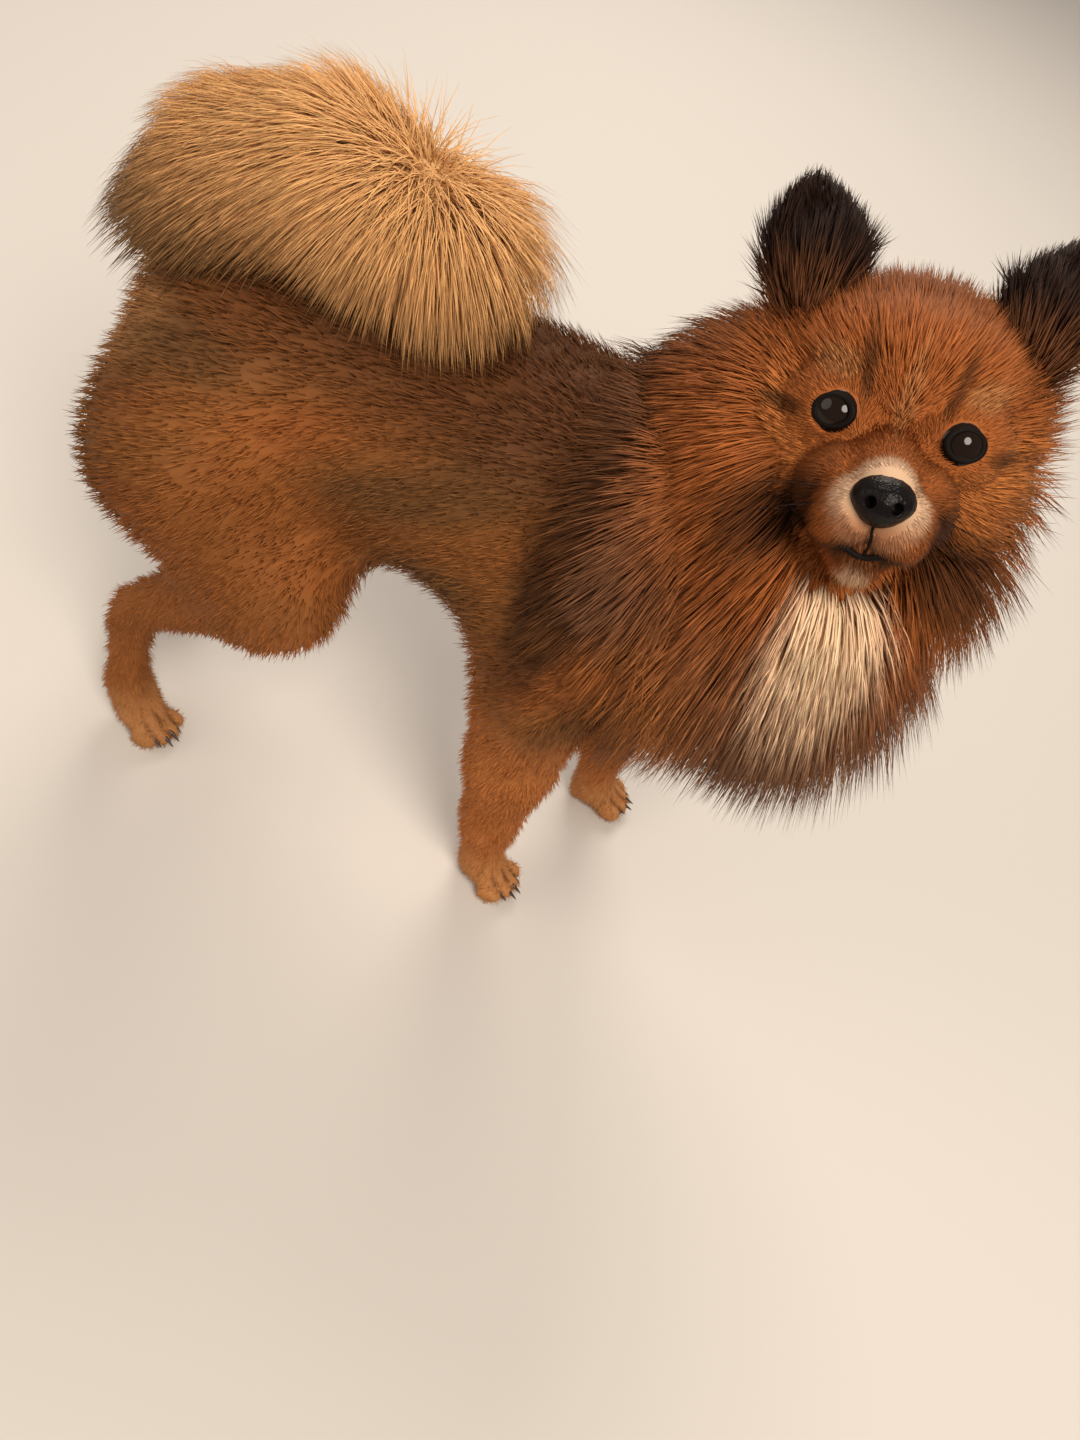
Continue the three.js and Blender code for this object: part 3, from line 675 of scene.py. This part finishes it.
# The clipped coat of the trunk and legs, denser on the legs
BODY_PIECES = 3
BODY_TUFTS = 16500
FOOT_HAIR = 3.4
LEG_HAIR_MORE = 2.4
TRUNK_HAIR_MORE = 3.8
BACKWARD = np.array((-1.0, 0, -0.25))
DOWNWARD = np.array((-0.25, 0, -1.0))
body_weight = on_body * (1 + 0.8 * (1 - ramp(middles[:, 2], 60, 150)))
for piece in range(BODY_PIECES):
    roots = ground.roots(body_weight, BODY_TUFTS)
    at, normal, _ = roots
    spots = stance_of(at)
    z = spots[:, 2]
    fall = (1 - ramp(z, 120, 200))[:, None] * 0.8 + 0.2
    way = flatten(BACKWARD * (1 - fall) + DOWNWARD * fall, normal)
    length = FOOT_HAIR + LEG_HAIR_MORE * ramp(z, 14, 50) + TRUNK_HAIR_MORE * ramp(z, 110, 180)
    length = length * MM * vary(BODY_TUFTS, 0.7, 1.25)
    start = jitter(way * 0.7 + normal * 0.75, 0.2)
    end = jitter(way + normal * 0.25, 0.22)
    width = (0.5 + 0.16 * ramp(z, 20, 120)) * MM * vary(BODY_TUFTS, 0.7, 1.25)
    base = markings(spots)
    # Some tips are dark in the coat's own colour; the rest are lightened as painted light on the tips, and
    # the roots darkened as painted shade deep in the coat
    dark_tip = (random.random(BODY_TUFTS) < 0.14 * ramp(z, 120, 190))[:, None]
    tip = np.where(dark_tip, base * 0.5, base * 1.15)
    tones = three_tones(base, 0.82, tip, 0.08)
    tufts(f"body_coat_{piece + 1}", 2, roots, start, end, length, width, tones)

# The ruff, long hair that stands out round the neck and hangs over the breast, denser and wider on the bib
RUFF_PIECES = 2
RUFF_TUFTS = 10200
RUFF_HAIR = 32
RUFF_RIM_HAIR_MORE = 18
RUFF_WIDTH = 0.66
BIB_WIDTH_MORE = 0.3
BROW = (20, 0, 0)
face_spot = np.array(head_axes @ (Vector(BROW) * MM)) / MM
ruff_weight = on_ruff * (1 + 1.5 * patch(middles, *BIB))
for piece in range(RUFF_PIECES):
    roots = ground.roots(ruff_weight, RUFF_TUFTS)
    at, normal, _ = roots
    spots = stance_of(at)
    x, y, _ = spots.T
    outward = distance(spots, FACE_MIDDLE)
    lean = 0.1 * ramp(x, 20, 70) - 0.35 * (1 - ramp(x, 0, 60))
    away = unit(spots - face_spot) + np.outer(lean, (1, 0, 0)) - np.array((0, 0, 0.6))
    way = flatten(away, normal)
    stand = (0.9 + 0.5 * ramp(x, 56, 84))[:, None]
    length = (RUFF_HAIR + RUFF_RIM_HAIR_MORE * ramp(outward, 50, 90)) * (0.6 + 0.4 * ramp(x, 0, 44))
    length = length * (1 - 0.25 * ramp(y, 20, 50)) * MM * vary(RUFF_TUFTS, 0.7, 1.15)
    start = jitter(way * 0.75 + normal * stand, 0.1)
    end = jitter(way + normal * (stand - 0.85) + np.array((0, 0, -0.15)), 0.1)
    base = markings(spots + way * 14)
    tip = markings(spots + way * 26)
    white = np.min(base, axis=1) > 0.3
    width = (RUFF_WIDTH + BIB_WIDTH_MORE * white) * MM * vary(RUFF_TUFTS, 0.6, 1.3)
    # Dark tips are the coat's own colour; the rest are lightened as painted light on the tips, and the
    # roots, but for the bib's, darkened as painted shade deep in the coat
    dark_tip = (random.random(RUFF_TUFTS) < 0.2 + 0.4 * ramp(outward, 64, 112)) & ~white
    tip = np.where(dark_tip[:, None], base * 0.3, tip * 1.1)
    tones = three_tones(base, np.where(white, 1.0, 0.75)[:, None], tip, 0.1)
    tufts(f"ruff_coat_{piece + 1}", 3, roots, start, end, length, width, tones)

# The tail's plume, long hair that fans from over the loin and falls to both sides
TAIL_PIECES = 2
TAIL_TUFTS = 8200
TAIL_HAIR = 24
TAIL_FRONT_HAIR_MORE = 11
TAIL_LOW_HAIR_MORE = 8
TAIL_WIDTH = 0.55
FAN = np.array((-108, 0, 304))
for piece in range(TAIL_PIECES):
    roots = ground.roots(on_tail, TAIL_TUFTS)
    at, normal, _ = roots
    spots = stance_of(at)
    x, _, z = spots.T
    way = flatten(unit(spots - FAN) + np.array((0, 0, -0.4)), normal)
    reach = np.linalg.norm((spots - FAN) * np.array((1, 1, 0.5)), axis=1)
    calm = (1 - ramp(reach, 4, 26))[:, None]
    front = ramp(x, -150, -106)
    length = TAIL_HAIR + TAIL_FRONT_HAIR_MORE * front
    length = length + TAIL_LOW_HAIR_MORE * ramp(-z, -296, -270) * (1 - front)
    length = length * MM * vary(TAIL_TUFTS, 0.65, 1.25) * (1 - 0.35 * calm[:, 0])
    way = unit(way * (1 - 0.6 * calm) + random.normal(0, 0.3, way.shape) * calm)
    start = jitter(way * 0.7 + normal * (0.9 - 0.4 * calm), 0.12)
    end = jitter(way + normal * 0.05 + np.array((0, 0, -0.45)), 0.1)
    width = TAIL_WIDTH * MM * vary(TAIL_TUFTS, 0.6, 1.3)
    base = markings(spots)
    tip = base * (1.05 - 0.65 * ramp(-z, -300, -276))[:, None]
    # The roots are darkened as painted shade deep in the coat
    tones = three_tones(base, 0.85, tip, 0.07)
    tufts(f"tail_coat_{piece + 1}", 3, roots, start, end, length, width, tones)

# The head's hair: very short on the muzzle, longer up the brow, long and full on the cheeks
HEAD_PIECES = 2
HEAD_TUFTS = 17500
MUZZLE_HAIR = 2.6
FACE_HAIR_MORE = 5.2
BROW_HAIR_MORE = 4.4
CHEEK_HAIR_MORE = 27
BARE_ROUND_EYE = 7.0
BARE_ROUND_NOSE = 9.5
BARE_ROUND_MOUTH = 1.9
EYE_FRONTS = [(30, -18.5, 0), (30, 18.5, 0)]
NOSE_MIDDLE = (58, 0, -20)
MUZZLE_MIDDLE = (50, 0, -20)
PARTING = np.array((62, 0, -14))
PARTING_SPREAD = np.array((1.0, 1.25, 1.1))
muzzle_near = distance(head_spots(middles), MUZZLE_MIDDLE)
head_weight = on_head * (1 + 1.6 * (1 - ramp(muzzle_near, 22, 56)))
for piece in range(HEAD_PIECES):
    roots = ground.roots(head_weight, HEAD_TUFTS)
    seen = head_spots(stance_of(roots[0]))
    eye_near = np.min([distance(seen, front) for front in EYE_FRONTS], axis=0)
    nose_near = distance(seen, NOSE_MIDDLE)
    keep = (eye_near > BARE_ROUND_EYE) & (nose_near > BARE_ROUND_NOSE)
    keep &= mouth_reach(seen) > BARE_ROUND_MOUTH
    roots = tuple(part[keep] for part in roots)
    at, normal, _ = roots
    seen = seen[keep]
    eye_near = eye_near[keep]
    nose_near = nose_near[keep]
    count = len(at)
    way = flatten((unit(seen - PARTING) * PARTING_SPREAD) @ head_turn.T, normal)
    back = ramp(nose_near, 44, 86)
    cheek = 1 - ramp(seen[:, 2], 6, 32)
    length = MUZZLE_HAIR + FACE_HAIR_MORE * ramp(nose_near, 12, 28)
    length = length + BROW_HAIR_MORE * ramp(nose_near, 34, 56)
    length = length + CHEEK_HAIR_MORE * back * (0.1 + 0.9 * cheek)
    length = length * (0.4 + 0.6 * ramp(eye_near, 7, 30)) * MM * vary(count, 0.7, 1.2)
    start = jitter(way * 0.9 + normal * (0.5 + 0.4 * back * cheek)[:, None], 0.12)
    end = jitter(way + normal * (0.1 + 0.25 * back)[:, None], 0.12)
    width = (0.42 + 0.2 * ramp(nose_near, 20, 60)) * MM * vary(count, 0.75, 1.25)
    base = markings(stance_of(at))
    # A fifth of the tips are dark in the coat's own colour; the rest are lightened as painted light on the
    # tips, and the roots darkened as painted shade deep in the coat
    tip = base * np.where(random.random(count) < 0.2, 0.45, 1.12)[:, None]
    tones = three_tones(base, 0.75, tip, 0.1)
    tufts(f"head_coat_{piece + 1}", 2, roots, start, end, length, width, tones)

# The ears' hair, dark and dense, browner and longer towards the root
EAR_TUFTS = 4600
EAR_HAIR = 6
EAR_ROOT_HAIR_MORE = 8
EAR_WIDTH = 0.7
rise = head_turn @ np.array((-0.3, 0, 1))
for side, ear in ears.items():
    roots = Ground(ear).roots(1.0, EAR_TUFTS)
    at, normal, _ = roots
    height = head_spots(stance_of(at))[:, 2]
    way = flatten(rise, normal)
    length = EAR_HAIR + EAR_ROOT_HAIR_MORE * (1 - ramp(height, 38, 60))
    length = length * MM * vary(EAR_TUFTS, 0.5, 1.4)
    start = jitter(way * 0.9 + normal * 0.45, 0.12)
    end = jitter(way + normal * 0.15, 0.12)
    width = EAR_WIDTH * MM * vary(EAR_TUFTS, 0.7, 1.3)
    base = blend(plain(BLACK, EAR_TUFTS), UMBER, (1 - ramp(height, 26, 40)) * 0.65)
    base = base * vary(EAR_TUFTS, 0.6, 1.8)[:, None]
    # The tips are lightened as painted light and the roots darkened as painted shade deep in the coat
    tones = three_tones(base, 0.7, base * 1.3, 0.16)
    tufts("ear_coat_" + side, 2, roots, start, end, length, width, tones)

# Whiskers, a few stiff dark bristles in two rows on each side of the muzzle
WHISKERS = 9
WHISKER_LENGTH = 26
WHISKER_WIDTH = 0.32
WHISKER_PAD = (47, 15, -23)
WHISKER_SPREAD = 3
WHISKER_ROW_RISE = 2.4
spread = np.linspace(-1, 1, WHISKERS)
rows = np.where(np.arange(WHISKERS) % 2, 1.0, -1.0)
even = np.ones(WHISKERS)
for side, sign in SIDES.items():
    x, y, z = WHISKER_PAD
    places = np.column_stack([x + WHISKER_SPREAD * spread, sign * y * even, z + WHISKER_ROW_RISE * rows])
    at = np.array([head_point(*place) for place in places])
    start = unit(np.column_stack([-0.1 - 0.25 * spread, sign * even, 0.1 * rows - 0.2]) @ head_turn.T)
    end = unit(start + np.array((0, 0, -0.35)))
    normal = unit(np.outer(even, head_turn @ np.array((0, sign, 0))) + 0.01)
    length = WHISKER_LENGTH * MM * vary(WHISKERS, 0.7, 1.1)
    width = WHISKER_WIDTH * MM * even
    tones = [plain(BLACK, WHISKERS)] * 3
    roots = (at, normal, np.full((WHISKERS, 2), 0.5))
    tufts("whiskers_" + side, 4, roots, start, end, length, width, tones)


# The eyes
# Round and so dark a brown that the pupil doesn't show, wet and glossy, set in black lid rims.
EYE_RADIUS = 8.6
RIM_RADIUS = 5.15
RIM_THICKNESS = 1.1
RIM_AHEAD = 6.7
RIM_OUT = 1.2
RIM_TURN = math.radians(16)
RIM_SHAPE = Matrix.Diagonal((1, 1.1, 0.86, 1))
FACING = Matrix.Rotation(math.radians(90), 4, "Y")


def gloss_material(name, colour, roughness, specular=0.5):
    material = bpy.data.materials.new(name)
    material.use_nodes = True
    shader = material.node_tree.nodes["Principled BSDF"]
    shader.inputs["Base Color"].default_value = (*colour, 1)
    shader.inputs["Roughness"].default_value = roughness
    shader.inputs["Specular IOR Level"].default_value = specular
    return material


eye_dark = gloss_material("eye_dark", (0.01, 0.004, 0.002), roughness=0.05, specular=0.25)
rim_skin = gloss_material("lid_rim", (0.006, 0.004, 0.003), roughness=0.6, specular=0.08)
for side, sign in SIDES.items():
    clear_selection()
    bpy.ops.mesh.primitive_uv_sphere_add(segments=48, ring_count=32, radius=EYE_RADIUS * MM)
    bpy.context.object.matrix_world = head_place @ Matrix.Translation((EYE.x, sign * EYE.y, EYE.z))
    eye = settle()
    eye.name = "eyeball_" + side
    bpy.ops.object.shade_smooth()
    eye.data.materials.append(eye_dark)
    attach(eye, "root")
    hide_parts("eye_" + side)
    clear_selection()
    bpy.ops.mesh.primitive_torus_add(
        major_segments=48, minor_segments=12, major_radius=RIM_RADIUS * MM, minor_radius=RIM_THICKNESS * MM
    )
    centre = Matrix.Translation((EYE.x + RIM_AHEAD * MM, sign * (EYE.y + RIM_OUT * MM), EYE.z))
    outward = Matrix.Rotation(sign * RIM_TURN, 4, "Z")
    bpy.context.object.matrix_world = head_place @ centre @ outward @ RIM_SHAPE @ FACING
    rim = settle()
    rim.name = "lid_rim_" + side
    bpy.ops.object.shade_smooth()
    rim.data.materials.append(rim_skin)
    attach(rim, "root")


# The nose
# A broad pad of damp black pebbled leather with two nostrils, cut in the solid and rounded off here.
NOSE_VOXEL = 0.55
NOSE_SMOOTHING = 3
PEBBLES_PER_METRE = 1400
PEBBLE_STRENGTH = 0.35
PEBBLE_DEPTH = 0.4
nose = remesh(copy_of("nose"), NOSE_VOXEL)
smooth(nose, NOSE_SMOOTHING)
nose.name = "nose_pad"
bpy.ops.object.shade_smooth()
leather = gloss_material("nose_leather", (0.004, 0.0025, 0.0025), roughness=0.34, specular=0.14)
tree = leather.node_tree
pebbles = tree.nodes.new("ShaderNodeTexVoronoi")
pebbles.inputs["Scale"].default_value = PEBBLES_PER_METRE
where = tree.nodes.new("ShaderNodeTexCoord")
bump = tree.nodes.new("ShaderNodeBump")
bump.inputs["Strength"].default_value = PEBBLE_STRENGTH
bump.inputs["Distance"].default_value = PEBBLE_DEPTH * MM
tree.links.new(where.outputs["Object"], pebbles.inputs["Vector"])
tree.links.new(pebbles.outputs["Distance"], bump.inputs["Height"])
tree.links.new(bump.outputs["Normal"], tree.nodes["Principled BSDF"].inputs["Normal"])
nose.data.materials.append(leather)
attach(nose, "root")
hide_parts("nose")


# The mouth
# Thin black lips meet in a line from cheek to cheek, and a groove runs up from it to the nose.
LIP_RADIUS = 1.0
GROOVE_RADIUS = 0.45
GROOVE = [(60, 0, -27), (58, 0, -32), MOUTH_MIDDLE]
LIP_POINTS = 60
GROOVE_POINTS = 6
LINE_SMOOTHING = 4


def skin_line(name, stops, radius, count):
    """A fine cord laid on the skin through places of the head, of as many points as count says."""
    curve = bpy.data.curves.new(name, "CURVE")
    curve.dimensions = "3D"
    curve.bevel_depth = radius * MM
    curve.bevel_resolution = 3
    curve.use_fill_caps = True
    spline = curve.splines.new("POLY")
    spline.points.add(count - 1)
    along = np.linspace(0, len(stops) - 1, count)
    drawn = [np.interp(along, range(len(stops)), [stop[k] for stop in stops]) for k in range(3)]
    laid = np.array([skin.closest_point_on_mesh(head_point(*stop))[1] for stop in zip(*drawn)])
    for _ in range(LINE_SMOOTHING):
        laid[1:-1] = (laid[:-2] + 2 * laid[1:-1] + laid[2:]) / 4
    for point, spot in zip(spline.points, laid):
        point.co = (*spot, 1)
    line = bpy.data.objects.new(name, curve)
    bpy.context.scene.collection.objects.link(line)
    only(line)
    bpy.ops.object.convert(target="MESH")
    return bpy.context.object


lips = skin_line("mouth", MOUTH, LIP_RADIUS, LIP_POINTS)
groove = skin_line("groove", GROOVE, GROOVE_RADIUS, GROOVE_POINTS)
mouth = join([lips, groove], "mouth")
bpy.ops.object.shade_smooth()
mouth.data.materials.append(rim_skin)
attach(mouth, "root")


# The claws
# Blunt dark horn claws, four to a paw, each curving down from its toe.
CLAW_MERGE = 0.02
horn = gloss_material("claw_horn", (0.035, 0.022, 0.016), roughness=0.35)
claw_nodes = [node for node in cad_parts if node.startswith("claw_")]
claws = join([copy_of(node) for node in claw_nodes], "claws")
bpy.ops.object.mode_set(mode="EDIT")
bpy.ops.mesh.select_all(action="SELECT")
bpy.ops.mesh.remove_doubles(threshold=CLAW_MERGE * MM)
bpy.ops.object.mode_set(mode="OBJECT")
rounding = claws.modifiers.new("rounding", "SUBSURF")
rounding.levels = 1
rounding.render_levels = 1
bpy.ops.object.modifier_apply(modifier=rounding.name)
bpy.ops.object.shade_smooth()
claws.data.materials.append(horn)
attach(claws, "root")
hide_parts(*claw_nodes)


# The floor, lights and camera
# A plain pale floor under soft studio light, seen from where the photo was taken.
FLOOR_SIZE = 8
LENS = 27.05
CAMERA_PLACE = (0, -315, 485)
CAMERA_RIGHT = Vector((0.8894, 0.3586, 0.283))
CAMERA_UP = Vector((-0.4568, 0.6982, 0.551))
CAMERA_BACK = Vector((0, -0.6195, 0.785))

clear_selection()
bpy.ops.mesh.primitive_plane_add(size=FLOOR_SIZE)
floor = bpy.context.object
floor.name = "floor"
floor.data.materials.append(gloss_material("floor", (0.60, 0.56, 0.52), roughness=0.8))


def soft_light(name, spot, aim, size, power, colour):
    data = bpy.data.lights.new(name, "AREA")
    data.shape = "DISK"
    data.size = size
    data.energy = power
    data.color = colour
    light = bpy.data.objects.new(name, data)
    light.location = spot
    light.rotation_euler = (Vector(aim) - Vector(spot)).to_track_quat("-Z", "Y").to_euler()
    bpy.context.scene.collection.objects.link(light)


soft_light("key", (0.6, -0.9, 1.6), (0, 0, 0.2), 0.8, 30, (1.0, 0.9, 0.78))
soft_light("fill", (-1.3, -0.6, 0.9), (0, 0, 0.2), 1.2, 7, (1.0, 0.9, 0.8))
soft_light("back", (-0.2, 1.2, 1.3), (0, 0, 0.25), 1.0, 18, (1.0, 0.92, 0.82))
world = bpy.data.worlds.new("studio")
world.use_nodes = True
surroundings = world.node_tree.nodes["Background"]
surroundings.inputs["Color"].default_value = (0.88, 0.82, 0.76, 1)
surroundings.inputs["Strength"].default_value = 0.38
bpy.context.scene.world = world

camera_data = bpy.data.cameras.new("camera")
camera_data.lens = LENS
camera_data.sensor_width = 36
camera_data.clip_start = 0.01
camera = bpy.data.objects.new("camera", camera_data)
bpy.context.scene.collection.objects.link(camera)
camera_turn = Matrix((CAMERA_RIGHT, CAMERA_UP, CAMERA_BACK)).transposed().to_4x4()
camera.matrix_world = Matrix.Translation(Vector(CAMERA_PLACE) * MM + STANCE) @ camera_turn
bpy.context.scene.camera = camera
bpy.context.scene.view_settings.view_transform = "Standard"
